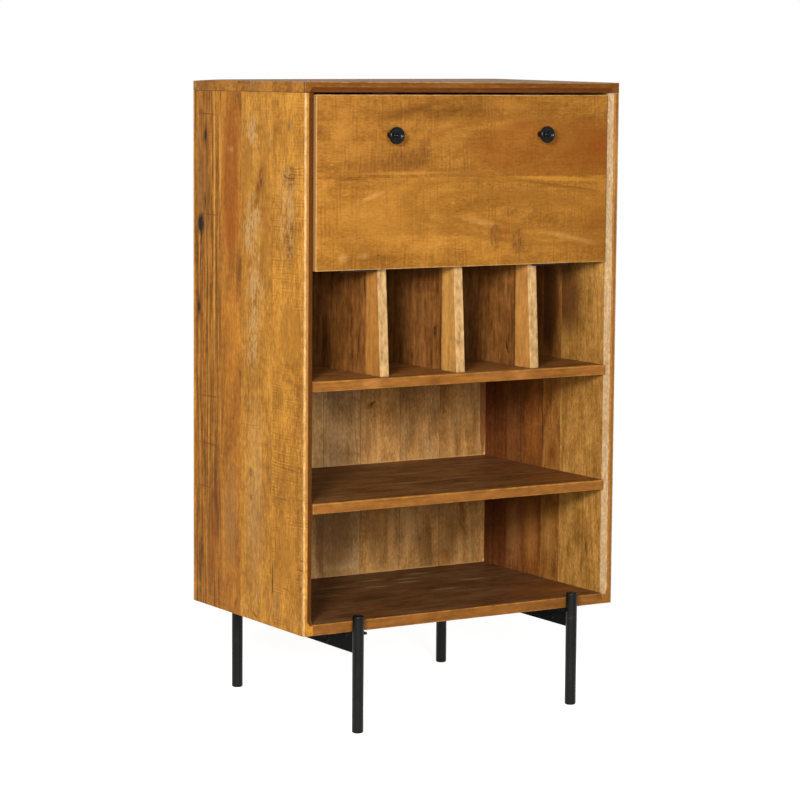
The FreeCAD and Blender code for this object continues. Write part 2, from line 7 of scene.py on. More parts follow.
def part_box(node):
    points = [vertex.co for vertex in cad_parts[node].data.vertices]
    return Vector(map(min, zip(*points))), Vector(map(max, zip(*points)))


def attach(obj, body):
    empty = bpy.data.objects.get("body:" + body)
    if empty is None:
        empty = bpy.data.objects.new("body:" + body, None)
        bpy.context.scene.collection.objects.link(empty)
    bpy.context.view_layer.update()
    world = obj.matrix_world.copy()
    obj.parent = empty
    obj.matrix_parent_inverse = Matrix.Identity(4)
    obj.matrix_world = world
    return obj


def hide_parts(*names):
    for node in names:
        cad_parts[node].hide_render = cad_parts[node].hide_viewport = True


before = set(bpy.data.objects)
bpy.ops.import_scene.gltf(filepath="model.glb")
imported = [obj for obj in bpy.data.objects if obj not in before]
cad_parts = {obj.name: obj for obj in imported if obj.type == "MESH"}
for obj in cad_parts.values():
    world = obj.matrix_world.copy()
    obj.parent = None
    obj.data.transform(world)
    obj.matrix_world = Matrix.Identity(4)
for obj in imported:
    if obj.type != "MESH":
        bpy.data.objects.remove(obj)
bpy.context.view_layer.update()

# Camera: the viewer stands some five metres away to the front left of the cabinet, at the height of
# its top, and looks slightly down. A long lens keeps the uprights nearly parallel.
camera_place = Vector((-2.75, -4.3826, 1.1434))
camera_turn = 0.559
camera_dip = 0.1151
camera_roll = 0.0076
camera_lens = 129.25


def placed(name, data):
    """A new object in the scene that holds some data."""
    made = bpy.data.objects.new(name, data)
    bpy.context.scene.collection.objects.link(made)
    return made


camera = placed("camera", bpy.data.cameras.new("camera"))
camera.data.lens = camera_lens
camera.data.clip_end = 100
heading = Matrix.Rotation(-camera_turn, 4, "Z") @ Matrix.Rotation(math.pi / 2 - camera_dip, 4, "X")
camera.matrix_world = Matrix.Translation(camera_place) @ heading @ Matrix.Rotation(camera_roll, 4, "Z")
bpy.context.scene.camera = camera

# Left side: four mango boards glued edge to edge with the grain upright, planed, sawn across in places
# and stained honey brown. The routed chamfer round the opening runs up the inner front edge, and the
# outer edges are rubbed pale. This section also holds what every wooden piece shares.
MM = 0.001
outer_arris = 1.2 * MM
glue_arris = 0.3 * MM
end_arris = 1.0 * MM
end_wear = 0.7
arc_steps = 3
station_pitch = 14 * MM
rub_depth = 0.35 * MM
nick_depth = 1.6 * MM
nick_share = 0.42
rub_waves = 11
nick_waves = 95
support = 1.5 * MM
merge_distance = 0.002 * MM
seam_wear = 0.15
# A worn value below 0 paints gathered stain and painted shade on chamfers that face away from the lamps.
stain_and_shade_wear = -0.9

top_low, top_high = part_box("top_panel")
bottom_low, bottom_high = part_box("bottom_panel")
back_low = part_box("back_board_1")[0]
inner_face = bottom_high.x
chamfer_width = 12.5 * MM
chamfer_depth = 8 * MM
run_out = 9 * MM
chamfer_stop = bottom_high.z + run_out
chamfer_head = top_low.z - 2.5 * MM
chamfer_shares = (0, 0.05, 0.12, 0.24, 0.4, 0.56, 0.72, 0.88, 0.96, 1.0, 1.03)


def chamfer(x, z):
    """How deep the routed chamfer is at a place on the front face."""
    aside = abs(x) - inner_face
    beyond = max(z - chamfer_head, chamfer_stop - z, 0)
    if beyond == 0:
        away = max(aside, 0)
    else:
        away = math.hypot(max(aside, 0) if z > chamfer_head else aside, beyond)
    return max(0.0, chamfer_depth * (1 - away / chamfer_width))


def soften(corners):
    """Round the corners of a section, given as two coordinates, a radius and how worn it is."""
    points = []
    for index, (first, second, radius, worn) in enumerate(corners):
        here = Vector((first, second))
        if radius == 0:
            points.append((here, worn, -1))
            continue
        before = Vector(corners[index - 1][:2]) - here
        after = Vector(corners[(index + 1) % len(corners)][:2]) - here
        if before.length > 3 * support:
            points.append((here + before.normalized() * (radius + support), 0.0, -1))
        for step in range(arc_steps + 1):
            share = step / arc_steps
            start = here + before.normalized() * radius
            end = here + after.normalized() * radius
            bend = start * (1 - share) ** 2 + here * 2 * share * (1 - share) + end * share ** 2
            points.append((bend, worn, index))
        if after.length > 3 * support:
            points.append((here + after.normalized() * (radius + support), 0.0, -1))
    return points


def stations(low, high, extra=()):
    """Places along a board for its outlines, closer together at both ends."""
    count = max(2, round((high - low) / station_pitch))
    places = [low + (high - low) * index / count for index in range(1, count)]
    for depth in (0, 0.3 * end_arris, end_arris, end_arris + support):
        places += [low + depth, high - depth]
    return sorted(places + list(extra))


def rubbed(place, corner, seed):
    """How far an arris is rubbed away at a place along it, with a few deeper nicks."""
    slow = noise.noise(Vector((place * rub_waves, corner * 3.7, seed)))
    quick = noise.noise(Vector((place * nick_waves, corner * 3.7, seed)))
    return rub_depth * max(0.0, slow + 0.2) + nick_depth * max(0.0, quick - nick_share)


def shaped(name, form):
    """Object made of a finished form."""
    mesh = bpy.data.meshes.new(name)
    form.to_mesh(mesh)
    form.free()
    return placed(name, mesh)


def lofted(name, grain, low, high, section, seed, extra=(), bare_below=-1.0):
    """Board skinned over its outlines along the grain, with rounded ends. Its attribute worn is 1 on
    rubbed edges, 0 on the faces and below 0 on chamfers that face away from the lamps, where the finish
    paints gathered stain and painted shade. Its ends are not rubbed below a given value of the section's
    second coordinate."""
    along = "xyz".index(grain)
    first, second = [axis for axis in (0, 1, 2) if axis != along]
    form = bmesh.new()
    worn_layer = form.verts.layers.float.new("worn")
    rings = []
    places = stations(low, high, extra)
    for order, place in enumerate([low] + places + [high]):
        end_gap = min(place - low, high - place)
        inset = 0.0
        if end_gap < end_arris:
            inset = end_arris - math.sqrt(end_arris ** 2 - (end_arris - end_gap) ** 2)
        flat_end = order in (0, len(places) + 1)
        if flat_end:
            inset = end_arris + support
        points = soften(section(place))
        least = [min(point[axis] for point, _, _ in points) for axis in (0, 1)]
        most = [max(point[axis] for point, _, _ in points) for axis in (0, 1)]
        middle = Vector(((least[0] + most[0]) / 2, (least[1] + most[1]) / 2))
        ring = []
        for point, worn, corner in points:
            if corner >= 0 and worn > 0:
                point = point + (middle - point).normalized() * rubbed(place, corner, seed) * worn
            spot = [0.0, 0.0, 0.0]
            spot[along] = place
            spot[first] = min(max(point.x, least[0] + inset), most[0] - inset)
            spot[second] = min(max(point.y, least[1] + inset), most[1] - inset)
            vert = form.verts.new(spot)
            rubbed_end = end_gap < end_arris and point.y > bare_below
            at_end = max(worn, end_wear) if rubbed_end else worn
            vert[worn_layer] = 0.0 if flat_end else at_end
            ring.append(vert)
        rings.append(ring)
    for ring, following in zip(rings, rings[1:]):
        for index in range(len(ring)):
            after = (index + 1) % len(ring)
            form.faces.new((ring[index], ring[after], following[after], following[index]))
    form.faces.new(reversed(rings[0]))
    form.faces.new(rings[-1])
    bmesh.ops.remove_doubles(form, verts=form.verts, dist=merge_distance)
    bmesh.ops.dissolve_degenerate(form, edges=form.edges, dist=merge_distance)
    bmesh.ops.recalc_face_normals(form, faces=form.faces)
    piece = shaped(name, form)
    piece.data.shade_smooth()
    weighted = piece.modifiers.new("face weights", "WEIGHTED_NORMAL")
    weighted.keep_sharp = True
    return piece


def tone(red, green, blue):
    """A colour as the eye sees it on a screen, from 0 to 255, for a shader."""
    parts = [part / 255 for part in (red, green, blue)]
    return tuple(p / 12.92 if p < 0.04 else ((p + 0.055) / 1.055) ** 2.4 for p in parts) + (1.0,)


class Wire:
    """One socket of a finish. Sums and products of wires add the Math nodes that they need."""

    def __init__(self, socket):
        self.socket = socket

    def node(self, kind, settings, sockets):
        tree = self.socket.id_data
        made = tree.nodes.new("ShaderNode" + kind)
        for name, value in settings.items():
            if name == "stops":
                while len(made.color_ramp.elements) > 1:
                    made.color_ramp.elements.remove(made.color_ramp.elements[0])
                made.color_ramp.elements[0].position = value[0][0]
                made.color_ramp.elements[0].color = value[0][1]
                for position, colour in value[1:]:
                    made.color_ramp.elements.new(position).color = colour
            else:
                setattr(made, name, value)
        for name, value in sockets.items():
            if isinstance(value, Wire):
                tree.links.new(value.socket, made.inputs[name])
            else:
                made.inputs[name].default_value = value
        return Wire([socket for socket in made.outputs if socket.enabled][0])

    def output(self, name):
        return Wire(self.socket.node.outputs[name])

    def maths(self, operation, *values):
        return self.node("Math", {"operation": operation}, dict(enumerate(values)))

    def __add__(self, other):
        return self.maths("ADD", self, other)

    def __sub__(self, other):
        return self.maths("SUBTRACT", self, other)

    def __rsub__(self, other):
        return self.maths("SUBTRACT", other, self)

    def __mul__(self, other):
        return self.maths("MULTIPLY", self, other)

    def __truediv__(self, other):
        return self.maths("DIVIDE", self, other)

    __radd__ = __add__
    __rmul__ = __mul__

    def smooth(self, low, high):
        """0 below the low value, 1 above the high one, and a soft step between."""
        return self.node("MapRange", {"interpolation_type": "SMOOTHSTEP"},
                         {"Value": self, "From Min": low, "From Max": high})

    def mix(self, colour, share):
        """This colour turned towards another by a share."""
        return self.node("Mix", {"data_type": "RGBA"}, {0: share, 6: self, 7: colour})


def blank(name):
    """A new finish, and the place on the object that its nodes start from."""
    finish = bpy.data.materials.new(name)
    finish.use_nodes = True
    return finish, Wire(finish.node_tree.nodes.new("ShaderNodeTexCoord").outputs["Object"])


def connected(finish, colour, rough, bump, gloss):
    """The finish with its colour, roughness and bump, and one level of gloss."""
    surface = finish.node_tree.nodes["Principled BSDF"]
    for socket, wire in (("Base Color", colour), ("Roughness", rough), ("Normal", bump)):
        finish.node_tree.links.new(wire.socket, surface.inputs[socket])
    surface.inputs["Specular IOR Level"].default_value = gloss
    return finish


usual_shape = (0.9, 0.0)
grain_sway = 22 * MM
grain_rag = 1.4 * MM
knot_pull = 0.8
stroke_sway = 2.2
front_edge = -199
crack_depth = 3.0
bump_depth = 0.35 * MM
wax_gloss = 0.08
mark_tone = tone(32, 17, 7)
pore_tone = tone(72, 42, 20)
knot_tone = tone(54, 30, 15)
speck_tone = tone(98, 58, 24)
burl_tone = tone(108, 52, 14)
# Dark tone for gathered stain, and for painted shade on chamfers that face away from the lamps.
stain_and_shade_tone = tone(87, 45, 12)
bleached_tone = tone(182, 142, 90)
pale_tone = tone(172, 137, 90)


def stained(red, green, blue):
    """Four tones of one stain, from its darkest streaks to its palest, round a middle colour."""
    shares = ((0.50, 0.45, 0.36), (0.82, 0.79, 0.74), (1.10, 1.12, 1.16), (1.42, 1.52, 1.75))
    middle = tone(red, green, blue)
    return [tuple(part * share for part, share in zip(middle, row)) + (1.0,) for row in shares]


def timber(name, axes, seed, stain, pith, marks=(), ring_pitch=0.007, figure=0.4, fibre=0.6, cloud=0.7,
           grain=0.6, grain_width=3.2, saw=0.35, saw_pitch=5.4, saw_reach=0.5, bleach=0.0, grey=0.0,
           rubbed=pale_tone, rubbed_share=0.85, marked_to=None):
    """Stained mango. The axes name the board's width, thickness and grain, and the stain is its middle
    colour. Each mark is a kind or colour, its strength, its place and half sizes across and along the
    board in mm, and then its softness and its turn where they aren't 0.9 and 0. On the sides the marks
    of one broad face end inside the board, at a place through it in mm."""
    finish, place = blank(name)
    marks = [mark + usual_shape[len(mark) - 6:] for mark in marks]
    split = place.node("SeparateXYZ", {}, {0: place})
    across, through, along = (split.output(axis) for axis in axes)

    def cells(wide, long, detail=3.0, layer=0, rough=0.55):
        """Noise with cells so many mm wide across the board and so many long."""
        where = place.node("CombineXYZ", {}, {
            0: across / (wide * MM) + seed * 7.3,
            1: through / (wide * MM) + layer * 3.1,
            2: along / (long * MM) + seed * 3.9})
        return place.node("TexNoise", {}, {
            "Vector": where, "Scale": 1.0, "Detail": detail, "Roughness": rough})

    sway = cells(90, 420, 2.0, 1) - 0.5
    ragged = cells(7, 22, 3.0, 2) - 0.5
    bent = across + sway * grain_sway + ragged * grain_rag
    for kind, strength, wide, tall, half_wide, half_tall, soft, turn in marks:
        if kind == "knot":
            reach_across = (across - wide * MM) / (half_wide * 2.4 * MM)
            reach_along = (along - tall * MM) / (half_tall * 2.4 * MM)
            pull = place.maths("POWER", 0.1, reach_across * reach_across + reach_along * reach_along)
            bent = bent - (across - wide * MM) * pull * knot_pull
    wide_gap = bent - pith[0] * MM
    deep_gap = through - pith[1] * MM
    radius = place.maths("SQRT", wide_gap * wide_gap + deep_gap * deep_gap) + along * pith[2]
    rings = place.node("TexNoise", {"noise_dimensions": "1D"}, {
        "W": radius / ring_pitch + seed * 5.7, "Scale": 1.0, "Detail": 2.0, "Roughness": 0.6})
    fine = cells(1.1, 46, 4.0, 3, 0.62)
    streak = cells(grain_width * 1.4, 140, 3.0, 4, 0.6)
    clouds = cells(60, 130, 3.0, 5)
    mottle = cells(17, 34, 4.0, 13, 0.6)
    ripple = cells(42, 11, 3.0, 6)
    grit = cells(grain_width, grain_width * 2.6, 2.0, 14, 0.65)
    shade = 0.5 + (rings - 0.5) * figure + ((fine - 0.5) * 0.4 + (streak - 0.5) * 0.55) * fibre
    shade = shade + (clouds - 0.5) * cloud + (mottle - 0.5) * 0.45 + (ripple - 0.5) * 0.2
    shade = shade + (grit - 0.5) * grain * 0.5
    dark, brown, honey, gold = stained(*stain)
    colour = place.node("ValToRGB", {"stops": ((0.22, dark), (0.42, brown), (0.58, honey), (0.80, gold))},
                        {0: shade})

    if grey > 0:
        dull = cells(34, 90, 4.0, 7).smooth(0.44, 0.62)
        colour = colour.mix(tone(134, 106, 72), dull * grey)
    if bleach > 0:
        washed = (cells(30, 75, 5.0, 8, 0.65) + (grit - 0.5) * 0.4).smooth(0.54, 0.68)
        colour = colour.mix(bleached_tone, washed * bleach)
    pores = cells(0.55, 7.5, 2.0, 9).smooth(0.60, 0.70) * (0.35 + rings * 0.6)
    colour = colour.mix(pore_tone, pores * 0.55)
    stroke = along / (saw_pitch * MM) + (cells(70, 60, 2.0, 15) - 0.5) * stroke_sway
    wave = place.maths("SINE", stroke * (2 * math.pi))
    dashes = cells(saw_pitch * 13, saw_pitch, 3.0, 11, 0.6)
    patches = cells(120, 90, 3.0, 10).smooth(0.62 - saw_reach * 0.3, 0.80 - saw_reach * 0.3)
    sawn = wave.smooth(0.0, 0.9) * dashes.smooth(0.46, 0.60) * patches
    colour = colour.mix(gold, (0 - wave).smooth(0.2, 0.9) * dashes.smooth(0.50, 0.62) * patches * saw * 0.5)
    colour = colour.mix(dark, sawn * saw)

    cracks = None
    if marked_to is not None:
        shown = 1 - through.smooth((marked_to - 1) * MM, (marked_to + 1) * MM)
    own_tones = {"dark": dark, "brown": brown, "honey": honey, "gold": gold, "black": mark_tone}
    for kind, strength, wide, tall, half_wide, half_tall, soft, turn in marks:
        centred = place.node("CombineXYZ", {}, {
            0: across - wide * MM + ragged * (min(half_wide * 0.9, 5) * MM),
            1: along - tall * MM + (grit - 0.5) * (min(half_tall * 0.5, 16) * MM)})
        scaled = place.node("Mapping", {"vector_type": "TEXTURE"}, {
            "Vector": centred, "Rotation": (0, 0, turn), "Scale": (half_wide * MM, half_tall * MM, 1)})
        reach = place.node("VectorMath", {"operation": "LENGTH"}, {0: scaled})
        if kind in ("black", "knot"):
            reach = reach + (streak - 0.5) * 1.1
        mask = 1 - reach.smooth(1 - soft, 1)
        if marked_to is not None and wide > front_edge:
            mask = mask * shown
        if kind == "knot":
            colour = colour.mix(dark, (1 - reach.smooth(0.9, 2.0)) * strength * 0.6)
            ring = (1 - reach.smooth(0.75, 1.05)) * reach.smooth(0.15, 0.55)
            colour = colour.mix(knot_tone, ring * strength)
        elif kind == "ring":
            ring = (1 - reach.smooth(1.0, 1.0 + soft)) * reach.smooth(1 - soft, 1.0)
            colour = colour.mix(brown, ring * strength)
        elif kind == "stain":
            specks = cells(grain_width * 3.4, 2.5, 3.0, 16, 0.6).smooth(0.48, 0.62)
            colour = colour.mix(speck_tone, mask * (0.25 + specks * 0.65) * strength)
        elif kind in ("worn", "burl"):
            clump = (mottle * 0.6 + grit * 0.45).smooth(0.44, 0.60)
            colour = colour.mix(bleached_tone if kind == "worn" else burl_tone, mask * clump * strength)
        else:
            colour = colour.mix(own_tones.get(kind, kind), mask * strength)
        if kind == "black":
            cracks = mask if cracks is None else cracks + mask

    wear = place.node("Attribute", {"attribute_name": "worn"}, {}).output("Fac")
    # Where worn is below 0, the colour turns to gathered stain and painted shade.
    colour = colour.mix(stain_and_shade_tone, ((mottle - 0.5) * 0.9 - wear).smooth(0.25, 0.8) * 0.92)
    scuffed = (wear + (cells(8, 26, 4.0, 12, 0.65) - 0.5) * 1.1).smooth(0.30, 0.85)
    paler = tuple(min(part * 1.3, 1.0) for part in rubbed)
    bare = place.node("ValToRGB", {"stops": ((0.28, honey), (0.46, rubbed), (0.68, paler))},
                      {0: grit * 0.6 + mottle * 0.4})
    colour = colour.mix(bare, scuffed * rubbed_share)
    speckled = 1 + (grit - 0.5) * grain * 1.5 + (streak - 0.5) * fibre * 0.5 + (fine - 0.5) * 0.25
    colour = place.node("VectorMath", {"operation": "SCALE"}, {0: colour, "Scale": speckled})
    height = fine * 0.5 + streak * 0.3 + clouds * 0.8 - pores * 0.9 - sawn * 0.8 * saw
    if cracks is not None:
        height = height - cracks * crack_depth
    bump = place.node("Bump", {}, {"Strength": 0.45, "Distance": bump_depth, "Height": height})
    rough = 0.50 + (fine - 0.5) * 0.25 + pores * 0.15 - wear * 0.06
    return connected(finish, colour, rough, bump, wax_gloss)


def dressed(piece, finish, body, node):
    """Give a piece its finish, its place on a body and the node it stands for."""
    piece.data.materials.append(finish)
    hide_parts(node)
    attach(piece, body)


def side_section(low, high, outer, inner, front_most, rear_most, chamfer_wear, line_wear, pale_share,
                 front_arris):
    """Outline of a side board at a height: its front chamfer, its seams and its rear rebate. The wear
    is that of the chamfer, over a share of its width, and of the line along its outer edge."""
    inward = 1 if inner > outer else -1

    def section(z):
        corners = []
        if front_most:
            corners.append((inner, low.y + chamfer_depth + support, 0, 0.0))
            for share in chamfer_shares:
                x = inner - inward * share * chamfer_width
                cut = chamfer(x, z)
                arris = glue_arris * max(0, 1 - share * chamfer_width / (2 * glue_arris))
                lined = z > chamfer_stop and share <= 1.0
                wear = chamfer_wear if cut > 0 else line_wear if lined else 0.1
                if cut > 0 and share > pale_share:
                    wear = 0.2
                corners.append((x, low.y + max(cut, arris), 0, wear))
            corners.append((outer, low.y, front_arris, 1.0))
        else:
            corners += [(x, low.y, glue_arris, seam_wear) for x in (inner, outer)]
        if rear_most:
            wall = inner - inward * (rebate_depth if z > rebate_floor else 0)
            corners += [(outer, high.y, outer_arris, 0.9), (wall, high.y, glue_arris, 0.2),
                        (wall, back_low.y, 0, 0), (inner, back_low.y, 0, 0)]
        else:
            corners += [(x, high.y, glue_arris, seam_wear) for x in (outer, inner)]
        return corners

    return section


rebate_depth = 8 * MM
rebate_floor = back_low.z - 0.5 * MM
chamfer_stations = [chamfer_stop - step for step in (chamfer_width, run_out, 4 * MM, 0)] + [chamfer_head]
rebate_stations = [rebate_floor, rebate_floor + 0.1 * MM]


def side_boards(hand, looks, first_seed, wear, **shared):
    """The boards of one side from the front to the back, each with its own look."""
    for index, look in enumerate(looks):
        node = f"{hand}_side_board_{index + 1}"
        low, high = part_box(node)
        outer, inner = (low.x, -inner_face) if hand == "left" else (high.x, inner_face)
        front_most, rear_most = index == 0, index == len(looks) - 1
        section = side_section(low, high, outer, inner, front_most, rear_most, *wear)
        extra = chamfer_stations if front_most else rebate_stations
        seed = first_seed + index
        board = lofted(f"{hand}_board_{index + 1}", "z", low.z, high.z, section, seed + 0.5, extra,
                       top_high.z)
        finish = timber(f"stained mango {hand} {index + 1}", "YXZ", seed, **look, **shared)
        dressed(board, finish, "cabinet", node)


scratch_tone = tone(118, 72, 30)
edge_tone = tone(196, 136, 54)
strip_front = tone(148, 99, 42)
left_looks = (
    dict(stain=(177, 120, 43), pith=(-150, -380, 0.04), saw=0.6, saw_reach=0.75, figure=0.3,
         fibre=0.45, marks=(
        ("gold", 0.5, -150, 1085, 40, 24), (tone(118, 96, 62), 0.8, -145, 1043, 6, 10, 0.7, 0.1),
        ("stain", 1.0, -147, 958, 32, 28, 0.6), ("stain", 0.9, -150, 850, 20, 66, 0.8),
        ("worn", 0.6, -140, 900, 46, 120, 0.8), ("dark", 0.8, -118, 821, 2.6, 19, 0.7, -0.2),
        ("ring", 0.9, -148, 690, 26, 40, 0.5), ("ring", 0.9, -148, 700, 12, 24, 0.7),
        ("dark", 0.6, -150, 636, 28, 9, 0.8), ("dark", 0.5, -150, 610, 20, 6, 0.8),
        ("gold", 0.5, -130, 540, 40, 40), ("stain", 0.6, -178, 560, 22, 80, 0.8),
        ("stain", 0.7, -184, 440, 18, 110, 0.8), ("stain", 0.7, -182, 280, 22, 70, 0.8),
        ("brown", 0.8, -140, 300, 50, 90), (scratch_tone, 0.8, -146, 458, 52, 1.6, 0.6, 0.02),
        (scratch_tone, 0.6, -130, 404, 30, 1.6, 0.6), ("black", 0.9, -92.5, 256, 2.0, 38, 0.6),
        (tone(150, 118, 74), 0.6, -104, 216, 9, 34, 0.8),
        (tone(150, 118, 74), 0.4, -170, 196, 14, 16, 0.9, 0.3), ("dark", 0.6, -144, 248, 22, 3, 0.8, 0.15),
        ("black", 0.7, -194, 306, 5, 2.0, 0.7, 0.2), ("black", 0.6, -191, 289, 5, 1.6, 0.7, 0.2),
        ("black", 0.6, -190, 258, 6, 1.6, 0.7, 0.2), ("black", 0.4, -184, 272, 4, 1.4, 0.7, 0.2),
        (strip_front, 0.8, -200.5, 760, 2.5, 460, 0.5))),
    dict(stain=(174, 118, 43), pith=(-60, -350, 0.03), bleach=0.3, saw=0.3, figure=0.3, fibre=0.45, marks=(
        ("brown", 0.9, 2, 985, 26, 70, 0.8), ("brown", 0.7, -66, 1000, 16, 90),
        ("worn", 0.9, -18, 1037, 26, 32, 0.6, 0.15), ("worn", 0.8, -24, 892, 34, 52, 0.7, -0.2),
        ("worn", 0.8, -10, 850, 34, 50, 0.7, -0.5), ("worn", 0.8, -30, 759, 34, 72, 0.7, -0.1),
        ("worn", 0.8, -22, 670, 30, 80, 0.7, 0.1), ("burl", 1.0, -46, 950, 20, 48, 0.8, 0.3),
        ("dark", 0.7, -34, 914, 11, 16, 0.8, 0.5), ("brown", 0.9, -66, 850, 18, 90, 0.8, 0.1),
        ("dark", 0.6, -54, 820, 9, 40, 0.9, 0.1), ("brown", 0.8, 12, 740, 9, 90),
        ("brown", 0.6, -70, 700, 14, 60, 0.9, -0.1), ("knot", 0.8, -15, 436, 6, 7, 0.6),
        ("knot", 0.6, -15, 393, 4, 5, 0.6), ("burl", 0.5, -12, 238, 14, 14, 0.8),
        ("black", 0.9, -32, 185, 1.8, 15, 0.6, -1.15), (bleached_tone, 0.35, -30, 400, 46, 240))),
    dict(stain=(170, 109, 38), pith=(40, -400, 0.05), figure=0.3, saw=0.2, marks=(
        (tone(146, 81, 19), 0.85, 60, 950, 40, 190, 0.6), (tone(146, 74, 18), 0.5, 58, 868, 26, 80),
        (tone(180, 114, 38), 0.6, 56, 660, 34, 120), (tone(136, 98, 54), 0.6, 60, 350, 40, 150),
        ("ring", 0.9, 46, 210, 14, 30, 0.5, 0.2), ("dark", 0.7, 40, 196, 7, 20, 0.8, 0.4),
        ("dark", 0.5, 38, 300, 8, 30, 0.9, 0.4), ("dark", 0.4, 84, 560, 5, 60, 0.9, 0.1),
        ("worn", 0.4, 60, 1000, 20, 8))),
    dict(stain=(152, 97, 34), pith=(260, -330, 0.0), figure=0.4, fibre=2.2, saw=0.25, marks=(
        (tone(138, 92, 40), 0.7, 165, 940, 34, 150), ("dark", 0.6, 150, 990, 9, 110),
        ("dark", 0.9, 154, 1020, 14, 34, 0.8, 0.1), ("black", 0.9, 154, 1022, 8, 17, 0.7, 0.1),
        ("black", 0.9, 154, 904, 3.4, 28, 0.7), ("black", 1.0, 172, 864, 15, 27, 0.6, 0.05),
        ("black", 0.9, 170, 848, 4, 42, 0.5, 0.1), ("black", 0.9, 172, 804, 3.2, 28, 0.5),
        ("dark", 0.9, 178, 716, 12, 44, 0.8), ("black", 0.9, 178, 714, 7, 20, 0.7),
        (edge_tone, 0.9, 99, 990, 7, 130, 0.6), (edge_tone, 0.8, 120, 880, 5, 340, 0.5),
        (edge_tone, 0.5, 140, 560, 6, 280, 0.8), ("dark", 0.6, 110, 760, 5, 300, 0.7),
        ("burl", 1.0, 119, 344, 20, 68, 0.5), ("burl", 0.9, 130, 262, 18, 44, 0.6),
        ("burl", 0.6, 120, 196, 16, 22, 0.8), (tone(140, 82, 24), 0.6, 124, 300, 24, 130),
        (scratch_tone, 0.9, 150, 1060, 48, 1.8, 0.5, 0.02),
        (scratch_tone, 0.8, 136, 882, 44, 1.8, 0.5, 0.02),
        (scratch_tone, 0.9, 142, 556, 48, 2.0, 0.5, -0.03), (scratch_tone, 0.9, 142, 470, 46, 2.0, 0.5),
        (scratch_tone, 0.7, 158, 391, 34, 1.8, 0.5, 0.02), (edge_tone, 0.8, 198, 640, 5, 2000, 0.4))),
)
# The left chamfer faces away from the lamps, and is painted dark with gathered stain and painted shade.
side_boards("left", left_looks, 1, (stain_and_shade_wear, 0.3, 1.0, 2 * outer_arris), grain_width=4.5,
            marked_to=-316)

# Right side: five narrower mango boards, glued in the same way. Its inner face shows in the bays, and
# the broad face of its chamfer is rubbed almost to bare wood, with a white chip where it runs out. On the
# inner faces of the front three boards, dark patches in the end cubby are painted shadow.
chamfer_pale = tone(154, 127, 93)
chip_tone = tone(206, 190, 166)
strip_right = tone(130, 80, 26)
right_looks = (
    dict(stain=(166, 118, 55), pith=(-120, 400, 0.05), figure=0.3, rubbed=chamfer_pale,
         rubbed_share=1.0, marks=(
        # The dark patch at 732 mm on the inner face is painted shadow in the end cubby, from the third
        # divider and the bar floor.
        (tone(86, 49, 22), 0.9, -76, 732, 62, 108, 0.7), ("dark", 0.6, -92, 780, 5, 60, 0.8, 0.1),
        ("dark", 0.6, -146, 543, 3, 7, 0.7), ("dark", 0.5, -128, 518, 14, 1.6, 0.7, 0.5),
        ("dark", 0.6, -73, 446, 4, 16, 0.8), ("dark", 0.5, -90, 417, 3, 6, 0.7),
        ("dark", 0.6, -76, 520, 16, 70), ("black", 0.6, -146, 271, 3, 18, 0.7, -0.2),
        ("dark", 0.7, -134, 240, 7, 44, 0.9, 0.1), ("dark", 0.6, -74, 330, 14, 70),
        (strip_right, 0.85, -200.5, 660, 2.5, 2000, 0.4), ("brown", 0.8, -200.5, 980, 2.5, 90),
        ("dark", 0.7, -200.5, 860, 2.5, 70), (chip_tone, 0.9, -195, 197, 4, 4, 0.7))),
    dict(stain=(142, 92, 40), pith=(-30, 380, 0.06), figure=0.6, marks=(
        ("black", 0.85, -2, 500, 1.8, 96, 0.5), ("burl", 0.9, -36, 436, 24, 34, 0.9, 0.3),
        (tone(166, 116, 56), 0.6, -30, 270, 30, 80), ("dark", 0.6, -28, 350, 20, 26),
        # The last mark, at 712 mm on the inner face, is painted shadow in the end cubby.
        ("burl", 0.5, -37, 206, 10, 12, 0.8), (tone(84, 48, 22), 0.95, -14, 712, 50, 112, 0.5))),
    dict(stain=(126, 74, 30), pith=(80, 420, 0.0), marks=(
        (tone(142, 84, 34), 0.6, 24, 450, 22, 60), ("dark", 0.5, 50, 560, 16, 60),
        # The dark mark at 700 mm on the inner face is painted shadow in the end cubby.
        (tone(160, 104, 50), 0.8, 30, 270, 30, 90), ("dark", 0.7, 24, 700, 40, 100, 0.8))),
    dict(stain=(112, 66, 32), pith=(160, 380, 0.02), marks=(
        ("dark", 0.5, 90, 540, 24, 70), (tone(156, 102, 54), 0.8, 90, 270, 34, 90))),
    dict(stain=(108, 60, 28), pith=(240, 360, 0.0), cloud=0.5, marks=(
        ("dark", 0.4, 150, 540, 40, 80), ("dark", 0.4, 150, 330, 40, 80))),
)
side_boards("right", right_looks, 11, (0.8, 0.7, 0.86, outer_arris), saw=0.2, marked_to=316)

# Top: one wide mango board laid over both sides, grain from end to end, rebated for the back and with
# the chamfer routed along its lower front edge, painted dark with stain and painted shade. Its upper
# face is painted paler and greyer, a painted sheen for how it looks at a grazing angle.
top_chamfer_shares = (0.23, 0.34, 0.48, 0.62, 0.76, 0.90, 0.97, 1.0, 1.1)
warp = 4.4 * MM
corner_drop = 2.2 * MM
corner_reach = 70 * MM
drop_depth = 60 * MM
arris_depth = 6 * MM
# This worn value paints the upper face paler and greyer: a painted sheen.
upper_sheen_wear = 0.5
rebate_side = inner_face + rebate_depth


